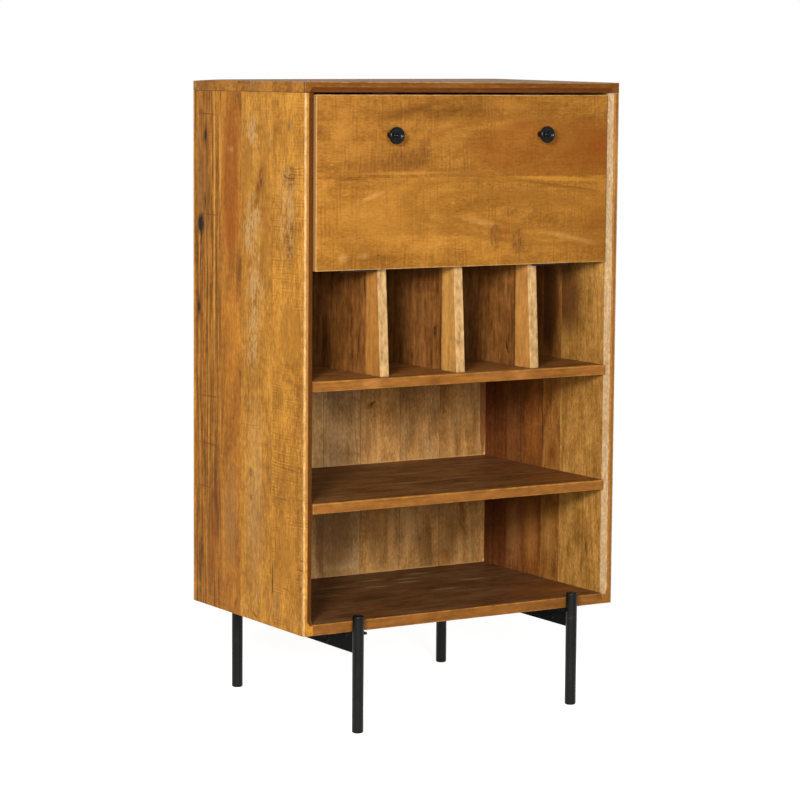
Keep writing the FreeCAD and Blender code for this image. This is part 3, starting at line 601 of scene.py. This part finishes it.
def top_section(x):
    """Outline of the top at a place along it, with its rebate between the sides. It has warped, so
    that its rear edge rises to the right, and its rear left corner is worn down."""
    step = rebate_depth if abs(x) < rebate_side else 0.1 * MM
    corners = [(top_high.y, top_low.z + step, 0, 0.1), (back_low.y, top_low.z + step, 0, 0.0),
               (back_low.y, top_low.z, 0, 0.0)]
    for share in top_chamfer_shares:
        z = chamfer_head + chamfer_width * share
        cut = chamfer(x, z)
        # Deep in the chamfer the worn value paints gathered stain and painted shade.
        corners.append((top_low.y + cut, z, 0, stain_and_shade_wear if cut > 0.4 * MM else 0.35))
    rise = warp * max(0.0, (x - top_low.x) / (top_high.x - top_low.x)) ** 0.8
    drop = corner_drop * max(0.0, 1 - (x - top_low.x) / corner_reach) ** 2
    # The upper face carries the worn value of the painted sheen.
    return corners + [
        (top_low.y, top_high.z, outer_arris, 0.9),
        (top_low.y + arris_depth, top_high.z, 0, upper_sheen_wear),
        (top_high.y - drop_depth, top_high.z + rise * 0.85, 0, upper_sheen_wear),
        (top_high.y, top_high.z + rise - drop, outer_arris + drop * 0.4, 0.9),
    ]


top_stations = [side * place for side in (-1, 1) for place in (
    rebate_side - 0.1 * MM, rebate_side, *(inner_face + step * MM for step in (0, 3, 6, 9, 12)))]
top = lofted("top", "x", top_low.x, top_high.x, top_section, 21.5, top_stations,
             top_low.z + rebate_depth)
# The first mark darkens the front edge and its chamfer: stain, and painted shade on the chamfer.
top_marks = (
    (tone(104, 59, 17), 0.9, -200, 0, 5, 2000, 0.3), (tone(94, 51, 16), 0.6, -200, 190, 5, 200),
    ("dark", 0.7, -146, -322, 20, 9, 0.8), ("dark", 0.5, -40, -322, 16, 9, 0.8),
    ("dark", 0.6, 156, -322, 46, 12), ("gold", 0.6, -60, -322, 50, 10), ("gold", 0.5, 60, -322, 20, 10))
# The rubbed tone serves the worn arrises and the painted sheen on the upper face.
dressed(top, timber("stained mango top", "YZX", 21, (156, 101, 36), (-150, 1060, 0.03), top_marks,
                    grey=0.25, grain_width=6, fibre=1.0, rubbed=tone(150, 118, 80), rubbed_share=0.7),
        "cabinet", "top_panel")

# Bottom: a mango board between the sides, darker than they are, with its front edge flush and lightly
# rubbed. Things slid in and out have left pale streaks along its grain.
shelf_front = tone(129, 80, 30)
streak_tone = tone(156, 128, 92)


def bottom_section(x):
    """Outline of the bottom board, with its rear rebate and the run-out of the chamfer."""
    rebate = bottom_high.z - rebate_depth
    return [
        (bottom_high.y, bottom_low.z, outer_arris, 0.4),
        (bottom_low.y, bottom_low.z, outer_arris, 0.8),
        (bottom_low.y + chamfer(x, bottom_high.z), bottom_high.z, outer_arris, 0.9),
        (back_low.y, bottom_high.z, 0, 0.0),
        (back_low.y, rebate, 0, 0.0),
        (bottom_high.y, rebate, 0, 0.0),
    ]


def pale_streaks(across_places, along_places, strength):
    """Thin pale streaks along the grain, at given places across and along a board in mm."""
    return tuple((streak_tone, strength, across, along, 8, 44)
                 for across, along in zip(across_places, along_places))


bottom = lofted("bottom", "x", bottom_low.x, bottom_high.x, bottom_section, 22.5,
                (-inner_face + 4 * MM, inner_face - 4 * MM))
bottom_marks = ((shelf_front, 0.85, -200, 0, 5, 2000, 0.3),
                (tone(122, 70, 28), 0.7, -120, 240, 90, 120)) + pale_streaks(
    (60, 90, 120, 20, 74, 140, -20, 40, 104), (-20, -90, 10, -140, 60, 120, 80, 180, 70), 0.8)
dressed(bottom, timber("stained mango bottom", "YZX", 22, (98, 60, 30), (-120, 100, 0.03), bottom_marks,
                       fibre=1.6, grain_width=9, rubbed=tone(154, 106, 48), rubbed_share=0.6, grey=0.2,
                       saw=0.1),
        "cabinet", "bottom_panel")

# Shelves: the middle shelf and the cubby shelf are mango boards dowelled between the sides, with the
# grain from side to side and the front arrises eased by hand.
shelf_marks = (
    ((shelf_front, 0.85, -198, 0, 5, 2000, 0.3), (tone(130, 76, 30), 0.7, -140, 240, 70, 110),
     ("dark", 0.6, 60, -210, 90, 60)) + pale_streaks(
        (-60, -44, 20, -110, 90, 40), (-30, 90, -150, 60, 200, 40), 0.6),
    ((tone(126, 78, 29), 0.85, -198, 0, 5, 2000, 0.3), ("dark", 0.5, -198, -60, 5, 50, 0.9, 0.2),
     ("gold", 0.5, -198, -190, 6, 60, 0.9, -0.2), ("gold", 0.4, -198, 120, 6, 40, 0.9, -0.2)),
)
for index, (name, stain) in enumerate((("middle", (114, 71, 33)), ("cubby", (138, 88, 40)))):
    node = f"{name}_shelf"
    low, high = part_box(node)

    def shelf_section(x, low=low, high=high):
        """Outline of a shelf, with its two front arrises eased."""
        return [(high.y, low.z, glue_arris, 0.1), (low.y, low.z, outer_arris, 0.6),
                (low.y, high.z, outer_arris * 1.8, 0.7), (high.y, high.z, glue_arris, 0.1)]

    board = lofted(node + "_board", "x", low.x, high.x, shelf_section, 23.5 + index)
    dressed(board, timber(f"stained mango {name} shelf", "YZX", 23 + index, stain,
                          (-140, high.z / MM - 90, 0.04), shelf_marks[index], fibre=1.6, grain_width=9,
                          rubbed=tone(156, 108, 50), rubbed_share=0.7, grey=0.2, saw=0.1),
            "cabinet", node)

# Bottle dividers: three upright mango boards between the cubby shelf and the bar floor. Their front
# edges are raked back towards the top and left pale, and a golden strip of painted light runs behind
# them, where the lamp reaches the front of each face.
divider_front = tone(165, 131, 86)
lit_strip_tones = (tone(176, 119, 54), tone(194, 140, 70), tone(184, 128, 62))
front_rake = 12 * MM
flat_margin = 3 * MM
divider_marks = (
    (("black", 0.75, -134, 760, 1.8, 32, 0.7, -0.12), ("black", 0.7, -113, 660, 2.0, 42, 0.7, 0.14),
     ("dark", 0.5, -60, 700, 30, 90)),
    (("knot", 0.8, -116, 681, 5, 10, 0.6), ("black", 0.6, -120, 650, 1.6, 26, 0.8, 0.1),
     ("black", 0.5, -40, 630, 3, 10, 0.8), ("dark", 0.4, -188, 616, 18, 5)),
    (("black", 0.8, -112, 646, 4, 14, 0.7, -0.4), ("dark", 0.7, -128, 680, 5, 90, 0.8)),
)
for index, marks in enumerate(divider_marks):
    node = f"divider_{index + 1}"
    low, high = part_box(node)

    def divider_section(z, low=low, high=high):
        """Outline of a divider, whose front edge leans back as it rises."""
        front_y = low.y + front_rake * (z - low.z) / (high.z - low.z)
        return [(low.x, high.y, glue_arris, 0.1), (low.x, front_y + support, 0, 0.0),
                (low.x, front_y, glue_arris * 3, 1.0), (low.x + flat_margin, front_y, 0, 1.0),
                (high.x - flat_margin, front_y, 0, 1.0), (high.x, front_y, glue_arris * 3, 1.0),
                (high.x, front_y + support, 0, 0.0), (high.x, high.y, glue_arris, 0.1)]

    board = lofted(f"bottle_divider_{index + 1}", "z", low.z, high.z, divider_section, 31.5 + index)
    edge_line = ((pore_tone, 0.8, -135, 700, 2.8, 2000, 0.7),) if index > 0 else ()
    # The golden strip behind each front edge is painted light from the lamp.
    marks = ((lit_strip_tones[index], 0.85, -162, 700, 28, 2000, 0.3),) + edge_line + marks
    dressed(board, timber(f"stained mango divider {index + 1}", "YXZ", 31 + index, (122, 76, 34),
                          (-60 + 40 * index, -400, 0.04), marks, fibre=1.2, grain_width=7, saw=0.15,
                          rubbed=divider_front, rubbed_share=0.95),
            "cabinet", node)

# Back: seven upright mango boards of different widths, screwed into the rebates of the frame. They are
# left greyer and rougher than the rest, and the stain has missed their lower corners.


def coated(part, finish):
    """Give a finish to the CAD nodes with this in their name. They keep their shape."""
    for name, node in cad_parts.items():
        if part in name:
            node.material_slots[0].material = finish


seam_tone = tone(66, 42, 24)
lip_tone = tone(176, 138, 90)
strip_tone = tone(128, 76, 38)
back_shade = tone(106, 68, 36)
back_looks = (
    ((170, 124, 70), (("burl", 0.4, -290, 300, 14, 70),)),
    ((164, 120, 70), (("dark", 0.4, -200, 420, 20, 60, 0.9, 0.1), ("gold", 0.4, -230, 560, 16, 90))),
    ((182, 138, 84), (
        ("dark", 0.6, -96, 300, 24, 60, 0.9, 0.2), (back_shade, 0.8, -64, 262, 18, 80, 0.7))),
    ((184, 141, 90), (
        ("dark", 0.5, -10, 424, 34, 26, 0.9, 0.9), ("burl", 0.3, -30, 330, 50, 70),
        (tone(200, 158, 106), 0.5, -30, 462, 44, 44), (back_shade, 0.8, -24, 262, 60, 76, 0.8),
        ("dark", 0.85, -20, 310, 60, 64, 0.9, 0.2), ("dark", 0.7, -30, 230, 50, 30),
        (tone(150, 104, 52), 0.6, -20, 200, 60, 12, 0.8))),
    ((178, 128, 68), (
        ("dark", 0.9, 46, 513, 13, 9, 0.8, 0.4), ("black", 0.7, 50, 517, 3, 11, 0.8, -0.9),
        ("burl", 0.5, 40, 450, 6, 80, 0.7), ("gold", 0.5, 64, 440, 9, 80, 0.8),
        ("burl", 0.4, 60, 280, 30, 70, 0.9, 0.1), ("gold", 0.5, 92, 250, 10, 70, 0.8))),
    ((168, 122, 68), (
        ("honey", 0.6, 150, 450, 10, 90, 0.8, -0.1), ("gold", 0.5, 130, 260, 12, 70, 0.8),
        ("burl", 0.4, 170, 240, 20, 40, 0.9, 0.3))),
    ((170, 122, 66), (
        ("gold", 0.5, 226, 430, 14, 90, 0.9, 0.1), ("dark", 0.5, 282, 470, 12, 60),
        (strip_tone, 0.85, 299, 505, 8, 106, 0.15), (lip_tone, 0.8, 291, 500, 1.1, 106, 0.5),
        (lip_tone, 0.7, 306, 440, 1.0, 44, 0.6), (chip_tone, 0.6, 304, 406, 3, 4, 0.7),
        (chip_tone, 0.6, 303, 198, 4, 3, 0.7), ("dark", 0.5, 230, 250, 30, 60),
        ("burl", 0.6, 214, 214, 20, 30, 0.9, 0.5))),
)
for index, (stain, marks) in enumerate(back_looks):
    node = f"back_board_{index + 1}"
    low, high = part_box(node)
    middle = (low.x + high.x) / 2 / MM
    seams = tuple((seam_tone, 0.5, edge / MM, 640, 1.2, 2000, 0.7) for edge in (low.x, high.x))
    lips = tuple((lip_tone, 0.6, middle, z / MM + 1, 60, 2.0, 0.6)
                 for z in (bottom_high.z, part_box("middle_shelf")[1].z))
    coated(node, timber(f"stained mango back {index + 1}", "XYZ", 41 + index, stain,
                        (middle + 30 - 12 * index, 120, 0.05), marks + seams + lips, grey=0.3,
                        cloud=0.9, fibre=0.5, grain=0.55, saw=0.1))

# Bar floor: the board under the bar compartment, dowelled like the shelves. Its underside carries the
# fixed hinge leaves, and it keeps the plain form it was sawn to.
coated("bar_floor", timber("stained mango bar floor", "YZX", 51, (118, 74, 34), (-100, 740, 0.03), saw=0.1))

# Flap: two mango boards glued along a level seam, grain from end to end, with sharp corners, a wide
# soft figure and the finest sawing marks upright across it. Its lower edge is let in for the hinges.
flap_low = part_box("flap_lower_board")[0]
leaf_boxes = [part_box(f"hinge_{side}_flap_leaf") for side in ("left", "right")]
pocket_clearance = 0.5 * MM
pocket_top = leaf_boxes[0][1].z + 0.1 * MM
pocket_front = leaf_boxes[0][0].y - pocket_clearance
knuckle_relief = 2.2 * MM
pocket_ends = [end for leaf_low, leaf_high in leaf_boxes
               for end in (leaf_low.x - pocket_clearance, leaf_high.x + pocket_clearance)]
flap_end = tone(158, 116, 68)
smear_tone = tone(168, 122, 62)
flap_looks = (
    ("lower", 61, (147, 97, 34), (760, -330), (
        ("honey", 0.7, 880, -180, 70, 120), ("gold", 0.35, 880, -60, 44, 26, 0.9, 0.3),
        (tone(118, 68, 17), 0.75, 860, 330, 90, 200, 1.0), ("brown", 0.9, 915, 150, 24, 170, 0.9, 0.1),
        ("ring", 0.8, 893, 130, 54, 250, 0.14, 0.10), ("ring", 0.7, 888, 130, 36, 190, 0.2, 0.12),
        ("ring", 0.6, 884, 130, 18, 110, 0.3, 0.14),
        (tone(166, 112, 40), 0.8, 951, 190, 6, 150, 0.7, 0.05), ("dark", 0.6, 938, 200, 3, 130, 0.8, 0.12),
        ("dark", 0.8, 954.5, -235, 2.0, 44, 0.6), (smear_tone, 0.7, 925, -190, 6, 36, 0.9, -0.32),
        (smear_tone, 0.5, 878, 30, 9, 70, 0.9, 0.2), (smear_tone, 0.5, 846, 220, 8, 90, 0.9, 0.2),
        (smear_tone, 0.6, 822, -249, 13, 15), (smear_tone, 0.5, 824, -207, 9, 17),
        ("burl", 0.5, 858, 80, 30, 40), ("stain", 1.0, 850, 64, 28, 16, 0.4),
        ("stain", 1.0, 842, 112, 28, 18, 0.4), ("stain", 0.9, 892, 94, 9, 24, 0.5),
        ("stain", 0.5, 936, 82, 12, 34, 0.8), ("stain", 0.4, 820, -185, 14, 40, 0.8),
        ("black", 0.5, 833, -90, 1.6, 1.6, 0.6), ("black", 0.4, 824, -178, 1.4, 4, 0.6),
        ("stain", 0.5, 812, -276, 12, 24))),
    ("upper", 62, (141, 92, 33), (1160, -330), (
        ("gold", 0.6, 1034, -254, 34, 34), ("gold", 0.4, 1030, -40, 40, 60, 0.9, 0.2),
        (tone(112, 60, 15), 0.85, 1006, 300, 70, 150, 1.0),
        (tone(124, 70, 19), 0.6, 1004, 190, 62, 210, 0.3), ("honey", 0.6, 1080, 90, 16, 90, 0.9, 0.1),
        ("brown", 0.8, 1058, 60, 8, 100, 0.9, -0.12), ("dark", 0.7, 1064, -140, 13, 66, 0.9, -0.3),
        ("dark", 0.6, 1072, -100, 9, 60, 0.9, -0.3), ("ring", 0.7, 1010, 60, 46, 160, 0.15, -0.1),
        ("burl", 0.5, 1046, 120, 14, 50, 0.9, -0.1), ("stain", 1.0, 988, -118, 26, 62, 0.6),
        ("stain", 0.8, 1006, -84, 26, 16, 0.6), ("stain", 0.5, 980, -170, 20, 40, 0.8),
        ("dark", 0.4, 984, -116, 22, 50), (tone(124, 58, 14), 0.4, 1006, 280, 26, 34),
        (smear_tone, 0.7, 980, -271, 1.6, 6, 0.7, 0.2), ("black", 0.6, 960, 58, 1.6, 1.8, 0.6),
        ("black", 0.5, 959, 176, 1.5, 2, 0.6), ("dark", 0.6, 957.5, -235, 1.6, 44, 0.6),
        ("gold", 0.5, 964, -120, 4, 150, 0.8))),
)
for name, seed, stain, pith, marks in flap_looks:
    node = f"flap_{name}_board"
    low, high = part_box(node)
    low = Vector((low.x, flap_low.y, low.z))

    def flap_section(x, low=low, high=high, name=name):
        """Outline of a flap board, let in along its lower edge for the hinge leaves and knuckles."""
        if name == "upper":
            lower = [(high.y, low.z, glue_arris, 0.3), (low.y, low.z, glue_arris, 0.1)]
        else:
            let_in = any(start <= x <= end for start, end in zip(pocket_ends[::2], pocket_ends[1::2]))
            roof = pocket_top if let_in else low.z
            knuckle_roof = pocket_top + pocket_clearance if let_in else low.z
            lower = [(high.y, knuckle_roof, 0, 0.1), (high.y - knuckle_relief, roof, 0, 0.0),
                     (pocket_front, roof, 0, 0.0), (pocket_front, low.z, 0, 0.2),
                     (low.y, low.z, outer_arris * 0.5, 0.9)]
        upper_arris = glue_arris if name == "lower" else outer_arris * 0.6
        upper_wear = 0.1 if name == "lower" else 0.9
        return lower + [(low.y, high.z, upper_arris, upper_wear), (high.y, high.z, glue_arris, 0.3)]

    flap_stations = [end + step for end in pocket_ends for step in (-0.05 * MM, 0.05 * MM)]
    board = lofted(f"flap_board_{name}", "x", low.x, high.x, flap_section, seed + 0.5,
                   flap_stations if name == "lower" else ())
    marks += ((flap_end, 0.9, (low.z + high.z) / 2 / MM, low.x / MM, 200, 2.0, 0.5),)
    dressed(board, timber(f"stained mango flap {name}", "ZYX", seed, stain, pith + (0.0,), marks,
                          ring_pitch=0.016, figure=0.25, fibre=0.2, cloud=0.7, grain=0.4, saw=0.4,
                          saw_pitch=7.5, saw_reach=1.1, rubbed_share=0.7),
            "flap", node)

# Dowels: beech pins glued across the joints of the carcass and the flap. They are left raw, because
# nothing of them shows once the boards are together.
for name in ("carcass_dowels", "flap_dowels"):
    coated(name, timber("raw beech " + name, "YZX", 71, (214, 180, 134), (0, 0, 0.0), ring_pitch=0.002,
                        figure=0.2, saw=0.0))

# Leg frames: round steel rods with domed ends, each welded to an angle bar under the carcass, all
# lacquered black. The lacquer is scuffed grey on the bars and has a soft sheen on the rods.


def metal(name, colour, scuff, scuff_share, rough, metallic, gloss):
    """Metal or lacquer, with grit, hazy wear and scuffs of a second colour."""
    finish, place = blank(name)
    finish.node_tree.nodes["Principled BSDF"].inputs["Metallic"].default_value = metallic
    grit, haze, scuffs = (
        place.node("TexNoise", {}, {"Vector": place, "Scale": scale, "Detail": detail, "Roughness": harsh})
        for scale, detail, harsh in ((900.0, 3.0, 0.5), (38.0, 5.0, 0.6), (70.0, 6.0, 0.7)))
    lighter = tuple(part * 1.7 for part in colour[:3]) + (1.0,)
    tinted = haze.node("ValToRGB", {"stops": ((0.35, colour), (0.75, lighter))}, {0: haze})
    scuffed = scuffs.smooth(0.56, 0.70) * haze.smooth(0.45, 0.62)
    tinted = tinted.mix(scuff, scuffed * scuff_share)
    bump = place.node("Bump", {}, {"Strength": 0.3, "Distance": 0.1 * MM, "Height": grit + scuffed * 0.4})
    return connected(finish, tinted, rough + (haze - 0.5) * 0.25 + scuffed * 0.2, bump, gloss)


rod_black = metal("black lacquered rod", tone(6, 6, 5), tone(50, 48, 42), 0.3, 0.36, 0.0, 0.17)
bar_black = metal("black lacquered bar", tone(8, 8, 8), tone(84, 84, 80), 0.5, 0.5, 0.0, 0.02)
coated("leg_bar_", bar_black)
coated("leg_rod_", rod_black)

# Knobs: turned hardwood or cast metal lacquered black, a thin foot and stem, two beads that swell to a
# round rim, and a dished front with a small button. One screw from inside the flap holds each.
knob_sides = 72
knob_rings = (
    (0.0, 0.36), (0.03, 0.36), (0.08, 0.31), (0.30, 0.29), (0.335, 0.34), (0.36, 0.50), (0.40, 0.60),
    (0.45, 0.63), (0.49, 0.60), (0.505, 0.55), (0.52, 0.62), (0.56, 0.76), (0.61, 0.815), (0.65, 0.79),
    (0.668, 0.73), (0.685, 0.80), (0.72, 0.92), (0.78, 0.985), (0.84, 1.0), (0.90, 0.975), (0.95, 0.90),
    (0.968, 0.82), (0.955, 0.72), (0.90, 0.62), (0.865, 0.50), (0.855, 0.36), (0.865, 0.25), (0.91, 0.215),
    (0.965, 0.19), (0.99, 0.12), (1.0, 0.04))
knob_black = metal("black lacquered knob", tone(4, 4, 4), tone(30, 30, 28), 0.2, 0.2, 0.0, 0.17)
for side in ("left", "right"):
    node = f"knob_{side}"
    low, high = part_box(node)
    centre = (low + high) / 2
    reach, radius = high.y - low.y, (high.x - low.x) / 2
    form = bmesh.new()
    hoops = []
    for depth_share, radius_share in knob_rings:
        hoop = []
        for step in range(knob_sides):
            turn = 2 * math.pi * step / knob_sides
            out = radius * radius_share
            hoop.append(form.verts.new((centre.x + out * math.cos(turn), high.y - reach * depth_share,
                                        centre.z + out * math.sin(turn))))
        hoops.append(hoop)
    for hoop, following in zip(hoops, hoops[1:]):
        for step in range(knob_sides):
            after = (step + 1) % knob_sides
            form.faces.new((hoop[step], hoop[after], following[after], following[step]))
    form.faces.new(reversed(hoops[0]))
    form.faces.new(hoops[-1])
    bmesh.ops.recalc_face_normals(form, faces=form.faces)
    knob = shaped(f"turned_{node}", form)
    knob.data.shade_smooth()
    dressed(knob, knob_black, "flap", node)

# Hinges: two steel butt hinges under the flap, each with a fixed leaf, a flap leaf and a pin, blackened
# so that they hide in the shadow of its lower edge.
hinge_black = metal("blackened hinge steel", tone(30, 29, 28), tone(90, 86, 80), 0.4, 0.4, 0.5, 0.3)
coated("hinge_", hinge_black)

# Stays and strikes: zinc-plated steel bars, brackets, rivets and studs that stop the flap at level, and
# the plates on the flap that the magnetic catches hold.
plated = metal("zinc plated steel", tone(150, 148, 142), tone(112, 106, 96), 0.5, 0.32, 0.9, 0.5)
coated("stay_", plated)
coated("strike_", plated)

# Catches: black plastic shells with a magnet inside, screwed under the top, one above each end of the
# flap.
catch_plastic = metal("black catch plastic", tone(24, 24, 25), tone(60, 60, 60), 0.3, 0.5, 0.0, 0.4)
coated("catch_", catch_plastic)

# Screws: countersunk steel, passivated yellow, in five groups. They sit flush in the back boards, the
# hinges, the stays and the catches, hold the knobs, and are sunk in the leg bars.
passivated = metal("yellow passivated screw", tone(168, 146, 92), tone(120, 104, 76), 0.6, 0.34, 0.9, 0.5)
coated("_screws", passivated)

# Studio: a pale floor that fades to white, a large soft lamp to the front left and a wide dim one in
# front, with a white world behind.
floor_reach = 6.0
floor_cells = 8
form = bmesh.new()
bmesh.ops.create_grid(form, x_segments=floor_cells, y_segments=floor_cells, size=floor_reach)
floor = shaped("floor", form)
ground, spot = blank("pale floor")
tree = ground.node_tree
surface = tree.nodes["Principled BSDF"]
surface.inputs["Base Color"].default_value = tone(232, 232, 230)
surface.inputs["Roughness"].default_value = 0.9
surface.inputs["Specular IOR Level"].default_value = 0.0
rays = spot.node("LightPath", {}, {})
seen = rays.maths("MAXIMUM", rays.output("Is Camera Ray"), rays.output("Is Glossy Ray"))
away = spot.node("VectorMath", {"operation": "LENGTH"}, {0: spot}).smooth(0.45, 1.1)
white = spot.node("Emission", {}, {"Color": (1, 1, 1, 1), "Strength": 1.0})
lift = spot.node("Emission", {}, {"Color": (1, 1, 1, 1), "Strength": seen * 0.86})
lifted = spot.node("AddShader", {}, {0: Wire(surface.outputs[0]), 1: lift})
final = spot.node("MixShader", {}, {0: seen * away, 1: lifted, 2: white})
tree.links.new(final.socket, tree.nodes["Material Output"].inputs["Surface"])
floor.data.materials.append(ground)

world = bpy.data.worlds.new("studio")
bpy.context.scene.world = world
world.use_nodes = True
tree = world.node_tree
sky = Wire(tree.nodes["Background"].outputs[0])
rays = sky.node("LightPath", {}, {})
seen = rays.maths("MAXIMUM", rays.output("Is Camera Ray"), rays.output("Is Transmission Ray"))
seen = rays.maths("MAXIMUM", seen, rays.output("Is Glossy Ray"))
ambient = 0.15
tree.links.new((ambient + seen * (1 - ambient)).socket, tree.nodes["Background"].inputs["Strength"])
tree.nodes["Background"].inputs["Color"].default_value = (1, 1, 1, 1)


def lamp(name, turn, rise, distance, size, power):
    """Soft square lamp, turned to the left of the front and raised, in degrees, and aimed at the middle."""
    light = placed(name, bpy.data.lights.new(name, "AREA"))
    light.data.shape = "SQUARE"
    light.data.size = size
    light.data.energy = power
    turn, rise = math.radians(turn), math.radians(rise)
    aim = Vector((-math.sin(turn) * math.cos(rise), -math.cos(turn) * math.cos(rise), math.sin(rise)))
    middle = Vector((0, 0, (top_high.z + bottom_low.z) / 2))
    light.location = middle + aim * distance
    light.rotation_euler = aim.to_track_quat("Z", "Y").to_euler()


lamp("key", 42, 14, 4.0, 0.6, 158)
lamp("fill", 20, 9, 4.5, 0.9, 100)

bpy.context.scene.view_settings.view_transform = "Standard"
